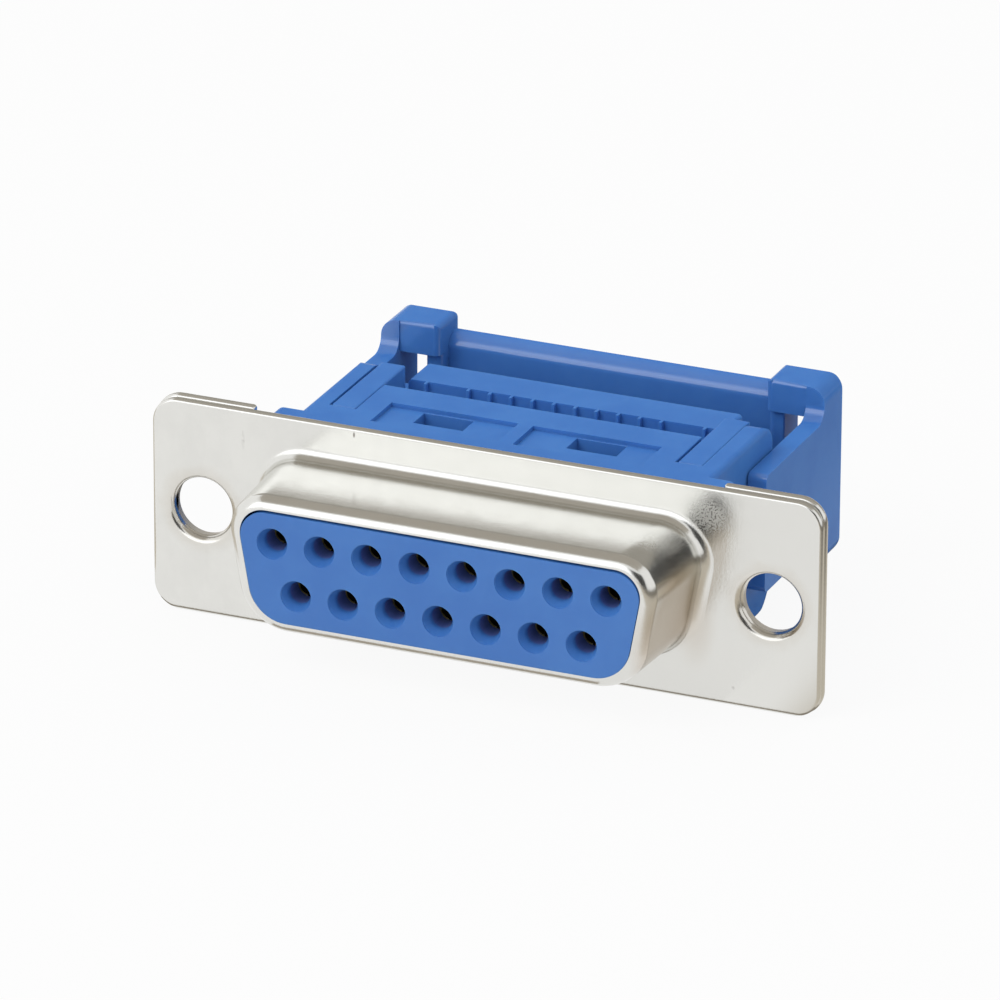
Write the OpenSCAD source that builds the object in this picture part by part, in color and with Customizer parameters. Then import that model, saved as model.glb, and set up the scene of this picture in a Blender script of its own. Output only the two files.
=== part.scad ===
// Socket connector with a D-shaped nose, for flat ribbon cable.
// A drawn steel shell carries a moulded housing with two rows of sockets.
// Behind it a press-on cover closes over the cable and a strain relief clips round both.
// X runs along the flange, Y from the panel into the body, Z from the narrow row to the wide row.
// The origin is the middle of the flange's front face.
// Cover and strain relief slide along Y; contacts are pressed into the housing.

/* [Flange] */
// Height of the flange
flange_h = 12.4; // [12.2:0.1:13.5]
// Corner radius of the flange and of the rear plates
flange_r = 1.5; // [1.2:0.1:2.5]
// Sheet thickness of the shell
shell_t = 0.5; // [0.4:0.05:0.6]
// Sheet thickness of the rear plates
plate_t = 0.5; // [0.4:0.05:0.6]
// How far the rear plates stand out above and below the flange
plate_overhang = 0.1; // [0:0.05:0.2]
// Distance from the side of the nose to the centre of a panel hole
hole_offset = 4.32; // [4.2:0.02:4.5]
// Distance from the centre of a panel hole to the flange's end
hole_margin = 2.92; // [2.7:0.02:3.3]
// Panel hole in the shell
shell_hole_d = 3.4; // [3.3:0.05:3.8]
// Panel hole in the rear plates, which the screw fits
plate_hole_d = 3.3; // [3:0.05:3.3]
// Width of the punched lip round the shell's hole
hole_lip_w = 0.2; // [0.1:0.05:0.3]
// Depth of the punched lip below the flange's front
hole_lip_t = 0.08; // [0.04:0.02:0.2]

/* [Nose] */
// Widest outside width of the nose
nose_w = 24.66; // [24.4:0.02:24.8]
// Outside height of the nose
nose_h = 7.8; // [7.7:0.05:8]
// Distance from the flange's front face to the end of the nose
nose_len = 6.03; // [5.7:0.03:6.2]
// Slant of the nose's two ends
nose_slant = 10; // [8:1:12]
// Outside radius of the two corners at the wide row
wide_r = 2.2; // [1.8:0.1:2.4]
// Outside radius of the two corners at the narrow row
narrow_r = 2.9; // [2.4:0.1:3.1]
// Radius where the nose meets the flange
root_r = 0.8; // [0.6:0.1:1]
// Radius of the rolled front rim
rim_r = 0.7; // [0.6:0.05:0.8]
// Gap between the rim's cut edge and the insulator
rim_gap = 0.06; // [0.04:0.01:0.1]

/* [Sockets] */
// Sockets in the wide row
wide_count = 8; // [8:1:8]
// Spacing of the sockets in a row
socket_pitch = 2.77; // [2.74:0.01:2.78]
// Distance between the two rows
row_pitch = 2.84; // [2.8:0.02:2.88]
// Mouth of a socket hole in the front face
mouth_d = 1.8; // [1.6:0.05:1.9]
// Depth of the tapered mouth
mouth_len = 0.55; // [0.4:0.05:0.7]
// Hole through the lip in front of a contact
entry_d = 1.25; // [1.15:0.05:1.35]
// Length of that lip
entry_len = 1.2; // [0.8:0.1:1.4]
// Bore that a contact sits in
cavity_d = 1.62; // [1.6:0.02:1.7]

/* [Contacts] */
// Outside diameter of a contact's barrel
barrel_d = 1.5; // [1.4:0.02:1.54]
// Bore of the barrel, for a 1 mm pin
barrel_bore_d = 1.08; // [1.04:0.02:1.12]
// Length of the barrel
barrel_len = 6.1; // [5.6:0.1:6.5]
// Depth of its bore
bore_len = 5.2; // [4.8:0.1:5.4]
// Width of the two slits that let the barrel spring
slit_w = 0.14; // [0.1:0.02:0.18]
// Length of the slits
slit_len = 3.2; // [2.5:0.1:3.8]
// Thickness of the contact's flat metal
blade_t = 0.3; // [0.25:0.05:0.35]
// Width of its shank
shank_w = 1.2; // [1:0.1:1.3]
// Width of the fork that cuts into a wire
fork_w = 2.1; // [1.9:0.05:2.15]
// Slot between the fork's prongs
fork_slot_w = 0.26; // [0.2:0.02:0.32]
// Length of the fork's shoulder
shoulder_len = 0.5; // [0.4:0.05:0.6]
// Length of its prongs
prong_len = 2.1; // [1.8:0.1:2.2]
// Length of the prongs' pointed tips
prong_tip_len = 0.5; // [0.3:0.05:0.7]
// Gap between the back of the middle block and the forks' shoulders
fork_seat = 0.05; // [0.02:0.01:0.1]
// Length of the shank's root inside the barrel
shank_root = 0.6; // [0.4:0.1:0.8]

/* [Housing] */
// Width of the housing's body
body_w = 24.16; // [24:0.02:24.4]
// Height of the body above the middle
body_top = 5.45; // [5.3:0.05:5.6]
// Depth of the body below the middle
body_bottom = 5.45; // [5.3:0.05:5.6]
// Distance from the flange's front face to the back of the middle block
block_back = 8.2; // [8:0.1:8.4]
// Distance from the flange's front face to the back of the side walls
wall_back = 11.8; // [11.6:0.1:12]
// Rounding of the side walls' upper rear corners
wall_r = 1.4; // [1:0.1:1.8]
// Rounding of the side walls' lower rear corners
wall_low_r = 2.3; // [1.4:0.1:2.5]
// Rounding of the body's long edges
body_edge_r = 0.35; // [0.2:0.05:0.5]
// Width of the ear on each end of the body
ear_w = 1.42; // [1.2:0.02:1.5]
// Length of the ear behind the flange
ear_len = 2.5; // [2.2:0.1:3]
// Rounding of the ear's outer edges
ear_r = 0.5; // [0.3:0.1:0.6]
// Distance from the ears to the rear plates
ear_gap = 0.2; // [0.1:0.05:0.3]

/* [Housing recesses] */
// Width of each shallow recess
recess_w = 7.54; // [7:0.02:7.8]
// Width of the rib between the two recesses
recess_rib_w = 0.84; // [0.6:0.02:1]
// Front of the recesses
recess_front = 3.1; // [2.8:0.1:3.4]
// Back of the recesses
recess_back = 6.0; // [5.8:0.1:6.2]
// Depth of the recesses
recess_depth = 0.25; // [0.15:0.05:0.4]
// Distance of the deep pockets' centres from the middle
pocket_x = 4.5; // [4.4:0.05:4.6]
// Width of a deep pocket
pocket_w = 2.9; // [2.6:0.1:3.1]
// Front of the deep pockets
pocket_front = 4.35; // [4.2:0.05:4.5]
// Back of the deep pockets
pocket_back = 5.9; // [5.5:0.05:5.9]
// Depth of the deep pockets
pocket_depth = 2.0; // [1.5:0.1:2.2]

/* [Latch arms] */
// Distance of an arm's inner face from the middle
arm_x = 9.46; // [9.4:0.02:9.5]
// Width of an arm
arm_w = 1.43; // [1.35:0.01:1.45]
// Distance from the flange's front face to the arms' ends
arm_front = 4.45; // [4.3:0.05:4.6]
// Distance of the arms' undersides from the middle
arm_inner_z = 2.9; // [2.8:0.05:3]
// Gap round an arm in its channel
arm_gap = 0.08; // [0.06:0.01:0.1]
// Sideways shift of the cover in its channels
cover_shift = 0.04; // [0:0.01:0.05]
// How far the catch on an arm stands out
catch_out = 0.3; // [0.2:0.05:0.35]
// Length of the catch along the arm
catch_len = 1.0; // [0.8:0.1:1.2]
// Height of the catch
catch_h = 1.2; // [1:0.1:1.4]
// Distance from the arm's end to the catch
catch_setback = 0.7; // [0.5:0.1:0.9]
// How far the cover opens before its catches stop it
cover_travel = 2.0; // [1.8:0.1:2.2]

/* [Cover] */
// Distance from the flange's front face to the front of the cover's upper part
cover_front = 11.5; // [11.4:0.05:11.6]
// Thickness of the cover's upper part
cover_t = 2.5; // [2.3:0.1:2.6]
// Width of the cover's upper part
cover_w = 18.8; // [18.6:0.05:18.85]
// How far the cover's top lies below the housing's top
cover_drop = 0.85; // [0.8:0.05:1]
// Distance from the flange's front face to the front of the pressing block
press_front = 9.3; // [9.2:0.05:9.5]
// Half height of the pressing block
press_h2 = 3.3; // [3.2:0.05:3.4]
// Rounding of the cover's outer edges
cover_edge_r = 0.25; // [0.15:0.05:0.35]
// Spacing of the wires in the ribbon cable
wire_pitch = 1.27; // [1.26:0.01:1.28]
// Width of the ribs between two wires
comb_rib_w = 0.16; // [0.12:0.02:0.24]
// How far those ribs stand out
comb_rib_out = 0.35; // [0.2:0.05:0.5]
// Gap round a contact's fork in the pressing block
fork_gap = 0.12; // [0.1:0.01:0.15]
// How far the arms' rear ends and the pressing block's back stay inside the cover's faces
inner_setback = 0.2; // [0.1:0.05:0.3]

/* [Strain relief] */
// Thickness of the side plates
side_t = 1.1; // [1:0.05:1.2]
// Gap between the side plates and the housing
side_gap = 0.07; // [0.05:0.01:0.1]
// Distance from the flange's front face to the side plates' front ends
side_front = 8.0; // [7.8:0.1:8.4]
// Top of the side plates' front part
side_top = 3.85; // [3.7:0.05:4]
// Depth of the side plates' front part below the middle
side_bottom = 3.05; // [2.9:0.05:3.2]
// Rounding of the side plates' front corners
side_front_r = 0.4; // [0.2:0.1:0.6]
// Distance from the flange's front face to the tall rear part
post_front = 16.6; // [16.4:0.1:16.8]
// Top of the rear part
post_top = 5.75; // [5.6:0.05:5.8]
// Depth of the rear part below the middle
post_bottom = 5.0; // [4.9:0.05:5.2]
// Distance from the flange's front face to the back of the strain relief
relief_back = 19.3; // [19.2:0.1:19.6]
// Radius where the front part meets the rear part
post_fillet_r = 0.9; // [0.7:0.1:1.2]
// Outer rounding of the rear part's top and bottom
post_r = 1.0; // [0.8:0.05:1.1]
// Rounding of the corner blocks' rear top edges
post_back_r = 0.25; // [0.1:0.05:0.6]
// Distance of the corner blocks' inner faces from the middle
lug_x = 9.75; // [9.65:0.05:9.85]
// How far the corner blocks stand back from the tall part's front
lug_setback = 0.1; // [0.05:0.05:0.2]
// Rounding of the corner blocks' inner edges
lug_r = 0.4; // [0.2:0.05:0.5]
// Height of the upper corner blocks
lug_h = 1.85; // [1.7:0.05:2]
// Gap between the height of the pressing block and the lower corner blocks
lug_gap = 0.1; // [0.05:0.05:0.3]
// Width of the legs beside the cable window
leg_w = 0.95; // [0.85:0.05:1.05]
// Distance from the flange's front face to those legs
leg_front = 17.1; // [17:0.1:17.3]
// Distance from the flange's front face to the cross bar
bar_front = 18.0; // [17.8:0.05:18]
// Distance from the flange's front face to the back of the cross bar
bar_back = 19.1; // [19.1:0.05:19.2]
// Rounding of the cross bar's two front edges
bar_front_r = 0.9; // [0.7:0.05:0.9]
// Rounding of the cross bar's two back edges
bar_back_r = 0.2; // [0.1:0.05:0.2]
// Top of the cross bar
bar_top = 4.85; // [4.75:0.05:4.95]
// Depth of the cross bar below the middle
bar_bottom = 4.35; // [4.2:0.05:4.5]
// How far the guide ribs inside the side plates stand out
guide_out = 0.3; // [0.2:0.05:0.35]
// Length of the guide ribs
guide_len = 1.0; // [0.8:0.1:1.2]
// Distance from the side plates' front ends to the guide ribs
guide_setback = 0.6; // [0.5:0.1:0.8]
// Height of the guide ribs
guide_h = 2.0; // [1.6:0.1:2.2]
// Gap round the guide ribs in their grooves
guide_gap = 0.1; // [0.08:0.01:0.15]
// How far the strain relief is pressed in against the cable
relief_press = 1.2; // [0.8:0.1:1.2]

/* [Hidden] */
$fn = 64;
cut = 1;
lap = 0.25;
bend_steps = 6;
corner_steps = 10;
flange_lap = 0.4;

contact_count = 2 * wide_count - 1;

steel = [0.80, 0.78, 0.74];
blue = [0.20, 0.42, 0.72];
contact_gold = [0.80, 0.64, 0.30];

hole_pitch = nose_w + 2 * hole_offset;
flange_w = hole_pitch + 2 * hole_margin;

// Centres of the nose's corner arcs, which every outline of the nose shares
wide_cx = nose_w / 2 - wide_r;
wide_cz = nose_h / 2 - wide_r;
slant_reach = wide_cx * cos(nose_slant) - wide_cz * sin(nose_slant) + wide_r;
narrow_cz = narrow_r - nose_h / 2;
narrow_cx = (slant_reach - narrow_r + narrow_cz * sin(nose_slant)) / cos(nose_slant);

insulator_inset = rim_r + rim_gap;
plate_back = shell_t + plate_t;
body_half_w = body_w / 2;
ear_x = body_half_w + ear_w;
arm_out_x = arm_x + arm_w;
channel_out_x = arm_out_x + arm_gap;
side_in_x = body_half_w + side_gap;
side_out_x = side_in_x + side_t;
cover_back = cover_front + cover_t;
cover_top = body_top - cover_drop;
cover_bottom = body_bottom - cover_drop;
relief_h = post_top + post_bottom;
relief_middle_z = (post_top - post_bottom) / 2;
leg_out_x = lug_x + leg_w;
lug_front = post_front + lug_setback;
barrel_front = nose_len - mouth_len - entry_len;
barrel_back = barrel_len - barrel_front;
fork_front = block_back + fork_seat;
prong_back = fork_front + shoulder_len + prong_len;
catch_front = arm_front + catch_setback;
wide_catch_z = (arm_inner_z + body_top) / 2;
narrow_catch_z = (arm_inner_z + body_bottom) / 2;
guide_front = side_front + guide_setback;

// Contact numbers run along the wide row first, then along the narrow row
function in_wide_row(i) = i <= wide_count;
function row_place(i) = in_wide_row(i) ? i - 1 : i - 1 - wide_count;
function row_length(i) = in_wide_row(i) ? wide_count : wide_count - 1;
function contact_x(i) = (row_place(i) - (row_length(i) - 1) / 2) * socket_pitch;
function contact_z(i) = (in_wide_row(i) ? 1 : -1) * row_pitch / 2;
function wire_x(i) = (row_place(i) - (row_length(i) - 1) / 2) * 2 * wire_pitch;

// A box between two corners
module span(low, high) {
    translate(low)
        cube(high - low);
}

// Draws in X and Z, and builds height towards the front
module towards_front() {
    rotate([90, 0, 0])
        children();
}

// Extrudes an outline drawn in X and Z from one Y to another
module along_y(from, to) {
    translate([0, to, 0])
        towards_front()
            linear_extrude(to - from)
                children();
}

// Extrudes an outline drawn in Y and Z from one X to another
module along_x(from, to) {
    translate([from, 0, 0])
        rotate([90, 0, 90])
            linear_extrude(to - from)
                children();
}

module both_ends() {
    children();
    mirror([1, 0, 0])
        children();
}

// The sliver between a square corner and the arc that rounds it
module corner_sliver(r) {
    difference() {
        square(r);
        translate([r, r])
            circle(r);
    }
}

module rounded_rectangle(w, h, r) {
    square([w - 2 * r, h], center = true);
    square([w, h - 2 * r], center = true);
    for (x = [-1, 1])
        for (z = [-1, 1])
            translate([x * (w / 2 - r), z * (h / 2 - r)])
                circle(r);
}

// Outline of the nose, grown by out; the wide row is at the top
module nose_outline(out) {
    wide = wide_r + out;
    narrow = narrow_r + out;
    upper = wide_cz - wide * sin(nose_slant);
    lower = narrow_cz - narrow * sin(nose_slant);
    upper_x = wide_cx + wide * cos(nose_slant);
    lower_x = narrow_cx + narrow * cos(nose_slant);
    polygon([
        [wide_cx, wide_cz + wide],
        [upper_x, upper],
        [lower_x, lower],
        [narrow_cx, narrow_cz - narrow],
        [-narrow_cx, narrow_cz - narrow],
        [-lower_x, lower],
        [-upper_x, upper],
        [-wide_cx, wide_cz + wide]
    ]);
    for (side = [-1, 1]) {
        translate([side * wide_cx, wide_cz])
            circle(wide);
        translate([side * narrow_cx, narrow_cz])
            circle(narrow);
    }
}

// Section of the drawn nose, once round from the flange over the rim and back inside.
// Each point is [distance out from the wall, distance in front of the flange].
function arc_points(x, y, r, from, to) = [
    for (k = [0:bend_steps])
        let (turn = from + (to - from) * k / bend_steps)
        [x + r * cos(turn), y + r * sin(turn)]
];
nose_section = concat(
    [[root_r + flange_lap, 0]],
    arc_points(root_r, root_r, root_r, 270, 180),
    arc_points(-rim_r, nose_len - rim_r, rim_r, 0, 90),
    arc_points(-rim_r, nose_len - rim_r, rim_r - shell_t, 90, 0),
    arc_points(root_r, root_r, root_r + shell_t, 180, 270),
    [[root_r + flange_lap, -shell_t]]
);

function corner_points(x, z, r, from, to, height) = [
    for (k = [0:corner_steps])
        let (turn = from + (to - from) * k / corner_steps)
        [x + r * cos(turn), z + r * sin(turn), height]
];
function nose_ring(out, height) = concat(
    corner_points(wide_cx, wide_cz, wide_r + out, -nose_slant, 90, height),
    corner_points(-wide_cx, wide_cz, wide_r + out, 90, 180 + nose_slant, height),
    corner_points(-narrow_cx, narrow_cz, narrow_r + out, 180 + nose_slant, 270, height),
    corner_points(narrow_cx, narrow_cz, narrow_r + out, 270, 360 - nose_slant, height)
);

// The drawn nose is one loft: its section swept round the outline
module drawn_nose() {
    ring_len = 4 * (corner_steps + 1);
    rings = len(nose_section);
    polyhedron(
        points = [for (p = nose_section) each nose_ring(p[0], p[1])],
        faces = [
            for (s = [0:rings - 1])
                for (k = [0:ring_len - 1])
                    let (
                        here = s * ring_len,
                        there = (s + 1) % rings * ring_len,
                        after = (k + 1) % ring_len
                    )
                    each [
                        [here + k, there + k, there + after],
                        [here + k, there + after, here + after]
                    ]
        ]
    );
}

// Cutter for a panel hole with a punched lip, drawn with its front at zero
module panel_hole(d, lip_w, lip_t, depth) {
    translate([0, 0, -depth - cut])
        cylinder(h = depth + 2 * cut, d = d);
    translate([0, 0, -lip_t])
        cylinder(h = 2 * lip_t, r1 = d / 2, r2 = d / 2 + 2 * lip_w);
}

module front_shell() {
    color(steel)
        towards_front() {
            drawn_nose();
            difference() {
                translate([0, 0, -shell_t])
                    linear_extrude(shell_t)
                        difference() {
                            rounded_rectangle(flange_w, flange_h, flange_r);
                            nose_outline(root_r + flange_lap / 2);
                        }
                for (side = [-1, 1])
                    translate([side * hole_pitch / 2, 0, 0])
                        panel_hole(shell_hole_d, hole_lip_w, hole_lip_t, shell_t);
            }
        }
}

module rear_plate() {
    inner_x = ear_x + ear_gap;
    plate_h = flange_h + 2 * plate_overhang;
    color(steel)
        difference() {
            along_y(shell_t, plate_back)
                intersection() {
                    rounded_rectangle(flange_w, plate_h, flange_r);
                    translate([inner_x, -plate_h / 2])
                        square([flange_w / 2 - inner_x, plate_h]);
                }
            translate([hole_pitch / 2, plate_back + cut, 0])
                towards_front()
                    cylinder(h = plate_t + 2 * cut, d = plate_hole_d);
        }
}

module rear_plate_right() {
    rear_plate();
}

module rear_plate_left() {
    mirror([1, 0, 0])
        rear_plate();
}

// Stepped bore for one contact, from the front face to the back of the middle block
module socket_bore() {
    towards_front() {
        translate([0, 0, nose_len - mouth_len])
            cylinder(h = mouth_len, d1 = entry_d, d2 = mouth_d);
        translate([0, 0, nose_len - lap / 4])
            cylinder(h = cut, d = mouth_d);
        translate([0, 0, barrel_front - lap])
            cylinder(h = entry_len + 2 * lap, d = entry_d);
        translate([0, 0, -block_back - cut])
            cylinder(h = barrel_front + block_back + cut, d = cavity_d);
    }
}

// Side view of the body up to a back
module body_side_view(back) {
    translate([shell_t, -body_bottom])
        square([back - shell_t, body_top + body_bottom]);
}

// Side view of the longer side walls, whose rear corners are rounded
module wall_side_view() {
    difference() {
        body_side_view(wall_back);
        translate([wall_back, body_top])
            rotate(180)
                corner_sliver(wall_r);
        translate([wall_back, -body_bottom])
            rotate(90)
                corner_sliver(wall_low_r);
    }
}

module body_outline() {
    translate([0, (body_top - body_bottom) / 2])
        rounded_rectangle(body_w, body_top + body_bottom, body_edge_r);
}

// Channels for the latch arms, with a pocket in which each catch travels
module arm_channels() {
    z_in = arm_inner_z - arm_gap;
    pocket_y = catch_front - arm_gap;
    slide_len = catch_len + cover_travel + 2 * arm_gap;
    pocket_h2 = catch_h / 2 + arm_gap;
    for (up = [-1, 1])
        both_ends() {
            low_z = up > 0 ? z_in : -body_bottom - cut;
            high_z = up > 0 ? body_top + cut : -z_in;
            catch_z = up > 0 ? wide_catch_z : -narrow_catch_z;
            span(
                [arm_x - arm_gap, arm_front - arm_gap, low_z],
                [channel_out_x, wall_back + cut, high_z]
            );
            span(
                [channel_out_x - lap, pocket_y, catch_z - pocket_h2],
                [channel_out_x + catch_out, pocket_y + slide_len, catch_z + pocket_h2]
            );
        }
}

module housing_recesses() {
    recess_x = recess_rib_w / 2;
    floor_gap = recess_depth + pocket_depth;
    for (up = [-1, 1]) {
        face_z = up > 0 ? body_top : -body_bottom;
        both_ends() {
            span(
                [recess_x, recess_front, min(face_z + up * cut, face_z - up * recess_depth)],
                [recess_x + recess_w, recess_back, max(face_z + up * cut, face_z - up * recess_depth)]
            );
            span(
                [pocket_x - pocket_w / 2, pocket_front, min(face_z + up * cut, face_z - up * floor_gap)],
                [pocket_x + pocket_w / 2, pocket_back, max(face_z + up * cut, face_z - up * floor_gap)]
            );
        }
    }
}

module housing() {
    ear_back = shell_t + ear_len;
    groove_front = guide_front - relief_press - guide_gap;
    color(blue)
        difference() {
            union() {
                along_y(-nose_len, shell_t + cut)
                    nose_outline(-insulator_inset);
                intersection() {
                    union() {
                        along_x(-body_half_w, body_half_w)
                            body_side_view(block_back);
                        both_ends()
                            along_x(channel_out_x, body_half_w)
                                wall_side_view();
                    }
                    along_y(shell_t, wall_back)
                        body_outline();
                }
                both_ends()
                    along_y(shell_t, ear_back)
                        translate([0, (body_top - body_bottom) / 2])
                            intersection() {
                                rounded_rectangle(2 * ear_x, body_top + body_bottom, ear_r);
                                translate([body_half_w - cut, -body_top - cut])
                                    square([ear_w + 2 * cut, 2 * body_top + 2 * cut]);
                            }
            }
            for (i = [1:contact_count])
                translate([contact_x(i), 0, contact_z(i)])
                    socket_bore();
            arm_channels();
            housing_recesses();
            both_ends()
                span(
                    [body_half_w - guide_out, groove_front, -guide_h / 2 - guide_gap],
                    [body_half_w + cut, wall_back + cut, guide_h / 2 + guide_gap]
                );
        }
}

// Slots in the pressing block that the forks stand in
module fork_slots() {
    half_w = fork_w / 2 + fork_gap;
    half_h = blade_t / 2 + fork_gap;
    slot_back = prong_back + 2 * fork_gap;
    for (i = [1:contact_count])
        translate([wire_x(i), 0, contact_z(i)])
            span([-half_w, press_front - cut, -half_h], [half_w, slot_back, half_h]);
}

// Ribs that part the wires at the mouth, with none at the sixth gap from the middle
module comb_ribs() {
    for (gap_number = [0.5, 1.5, 2.5, 3.5, 4.5, 6.5])
        both_ends()
            translate([gap_number * wire_pitch, 0, 0])
                for (up = [-1, 1]) {
                    far_z = up > 0 ? cover_top : cover_bottom;
                    along_y(cover_front - comb_rib_out, cover_front + cut)
                        translate([-comb_rib_w / 2, up > 0 ? press_h2 - cut : -far_z])
                            square([comb_rib_w, far_z - press_h2 + cut]);
                }
}

module latch_arms() {
    for (up = [-1, 1])
        both_ends() {
            low_z = up > 0 ? arm_inner_z : -body_bottom;
            high_z = up > 0 ? body_top : -arm_inner_z;
            catch_z = up > 0 ? wide_catch_z : -narrow_catch_z;
            span(
                [arm_x, arm_front, low_z],
                [arm_out_x, cover_front - inner_setback, high_z]
            );
            span(
                [arm_out_x - lap, catch_front, catch_z - catch_h / 2],
                [arm_out_x + catch_out, catch_front + catch_len, catch_z + catch_h / 2]
            );
        }
}

module cover() {
    middle_z = (cover_top - cover_bottom) / 2;
    color(blue)
        translate([cover_shift, 0, 0])
            difference() {
                union() {
                    along_y(cover_front, cover_back)
                        translate([0, middle_z])
                            rounded_rectangle(cover_w, cover_top + cover_bottom, cover_edge_r);
                    along_y(press_front, cover_back - inner_setback)
                        rounded_rectangle(2 * arm_out_x, 2 * press_h2, cover_edge_r);
                    latch_arms();
                    comb_ribs();
                }
                translate([-cover_shift, 0, 0])
                    fork_slots();
            }
}

// Side view of a strain relief plate
module side_plate_view() {
    difference() {
        union() {
            translate([side_front, -side_bottom])
                square([relief_back - side_front, side_top + side_bottom]);
            translate([post_front, -post_bottom])
                square([relief_back - post_front, relief_h]);
            translate([post_front, side_top])
                rotate(90)
                    corner_sliver(post_fillet_r);
            translate([post_front, -side_bottom])
                rotate(180)
                    corner_sliver(min(post_fillet_r, post_bottom - side_bottom));
        }
        translate([side_front, side_top])
            rotate(-90)
                corner_sliver(side_front_r);
        translate([side_front, -side_bottom])
            corner_sliver(side_front_r);
    }
}

// Side view that rounds the rear edges of the whole strain relief
module rear_rounding_view() {
    difference() {
        translate([side_front, -post_bottom])
            square([relief_back - side_front, relief_h]);
        translate([relief_back, -post_bottom])
            rotate(90)
                corner_sliver(post_r);
        translate([relief_back, post_top])
            rotate(180)
                corner_sliver(post_back_r);
    }
}

// Section of the cross bar, rounded far more at the front than at the back
module bar_section() {
    difference() {
        translate([bar_front, -bar_bottom])
            square([bar_back - bar_front, bar_top + bar_bottom]);
        translate([bar_front, bar_top])
            rotate(-90)
                corner_sliver(bar_front_r);
        translate([bar_front, -bar_bottom])
            corner_sliver(bar_front_r);
        translate([bar_back, bar_top])
            rotate(180)
                corner_sliver(bar_back_r);
        translate([bar_back, -bar_bottom])
            rotate(90)
                corner_sliver(bar_back_r);
    }
}

// A block or leg with its inner front edge rounded
module upright(front, out_x, low_z, high_z) {
    translate([lug_x, front, low_z])
        linear_extrude(high_z - low_z)
            difference() {
                square([out_x - lug_x, relief_back - front]);
                corner_sliver(lug_r);
            }
}

// An upper and a lower corner block with the leg that joins them
module corner_blocks() {
    lower_lug_top = -press_h2 - lug_gap;
    upper_lug_bottom = post_top - lug_h;
    lug_out_x = side_in_x + lap;
    intersection() {
        union() {
            upright(lug_front, lug_out_x, upper_lug_bottom, post_top);
            upright(lug_front, lug_out_x, -post_bottom, lower_lug_top);
            upright(leg_front, leg_out_x, lower_lug_top - lap, upper_lug_bottom + lap);
        }
        along_y(lug_front, relief_back)
            translate([lug_x + side_out_x, relief_middle_z])
                rounded_rectangle(2 * side_out_x, relief_h, lug_r);
    }
}

module strain_relief() {
    color(blue) {
        intersection() {
            union() {
                both_ends() {
                    along_x(side_in_x, side_out_x)
                        side_plate_view();
                    corner_blocks();
                }
                along_x(-lug_x - lug_r, lug_x + lug_r)
                    bar_section();
            }
            along_x(-side_out_x, side_out_x)
                rear_rounding_view();
            along_y(side_front, relief_back)
                translate([0, relief_middle_z])
                    rounded_rectangle(2 * side_out_x, relief_h, post_r);
        }
        both_ends()
            span(
                [side_in_x - guide_out, guide_front, -guide_h / 2],
                [side_in_x + lap, guide_front + guide_len, guide_h / 2]
            );
    }
}

// Flat outline of a contact behind its barrel, drawn from above with its barrel on x = 0
module contact_blade(offset_x) {
    half = fork_w / 2;
    shank_start = barrel_back - shank_root;
    left = min(-shank_w / 2, offset_x - half);
    right = max(shank_w / 2, offset_x + half);
    translate([-shank_w / 2, shank_start])
        square([shank_w, fork_front + shoulder_len - shank_start]);
    translate([left, fork_front])
        square([right - left, shoulder_len]);
    for (side = [-1, 1])
        translate([offset_x, fork_front + shoulder_len - lap])
            mirror([side < 0 ? 1 : 0, 0])
                polygon([
                    [fork_slot_w / 2, 0],
                    [half, 0],
                    [half, prong_len - prong_tip_len + lap],
                    [(half + fork_slot_w / 2) / 2, prong_len + lap],
                    [fork_slot_w / 2, prong_len - prong_tip_len + lap]
                ]);
}

module contact(i) {
    color(contact_gold)
        translate([contact_x(i), 0, contact_z(i)]) {
            towards_front()
                translate([0, 0, barrel_front - barrel_len])
                    difference() {
                        cylinder(h = barrel_len, d = barrel_d);
                        translate([0, 0, barrel_len - bore_len])
                            cylinder(h = bore_len + cut, d = barrel_bore_d);
                        translate([-slit_w / 2, -barrel_d, barrel_len - slit_len])
                            cube([slit_w, 2 * barrel_d, slit_len + cut]);
                    }
            translate([0, 0, -blade_t / 2])
                linear_extrude(blade_t)
                    contact_blade(wire_x(i) - contact_x(i));
        }
}

front_shell();
rear_plate_left();
rear_plate_right();
housing();
cover();
strain_relief();
for (i = [1:contact_count])
    contact(i);
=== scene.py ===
"""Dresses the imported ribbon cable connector: steel shell, blue mouldings, contacts, studio."""

import logging
import math
from dataclasses import dataclass, replace
from enum import Enum
from typing import Callable, Iterable, Sequence

import bmesh
import bpy
from mathutils import Matrix, Vector


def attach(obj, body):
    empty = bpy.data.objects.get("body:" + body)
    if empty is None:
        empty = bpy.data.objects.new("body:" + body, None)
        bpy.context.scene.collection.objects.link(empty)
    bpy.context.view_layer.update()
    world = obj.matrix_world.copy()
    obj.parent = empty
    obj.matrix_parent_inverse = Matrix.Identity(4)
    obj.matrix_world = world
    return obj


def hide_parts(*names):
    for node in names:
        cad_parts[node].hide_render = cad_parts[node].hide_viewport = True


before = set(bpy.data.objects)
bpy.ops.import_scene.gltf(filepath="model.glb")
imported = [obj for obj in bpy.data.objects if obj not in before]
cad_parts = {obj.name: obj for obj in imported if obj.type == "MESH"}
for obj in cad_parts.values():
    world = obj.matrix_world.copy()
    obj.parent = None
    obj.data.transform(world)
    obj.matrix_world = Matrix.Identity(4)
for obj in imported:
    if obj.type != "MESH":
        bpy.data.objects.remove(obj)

LOG = logging.getLogger("connector")

Colour = tuple[float, float, float]
Point = tuple[float, float, float]
Span = tuple[float, float]
Material = bpy.types.Material
Object = bpy.types.Object
Socket = bpy.types.NodeSocket
BMesh = bmesh.types.BMesh
BMEdge = bmesh.types.BMEdge
BMFace = bmesh.types.BMFace
BMVert = bmesh.types.BMVert
EdgeTest = Callable[[BMEdge], bool]

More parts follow.
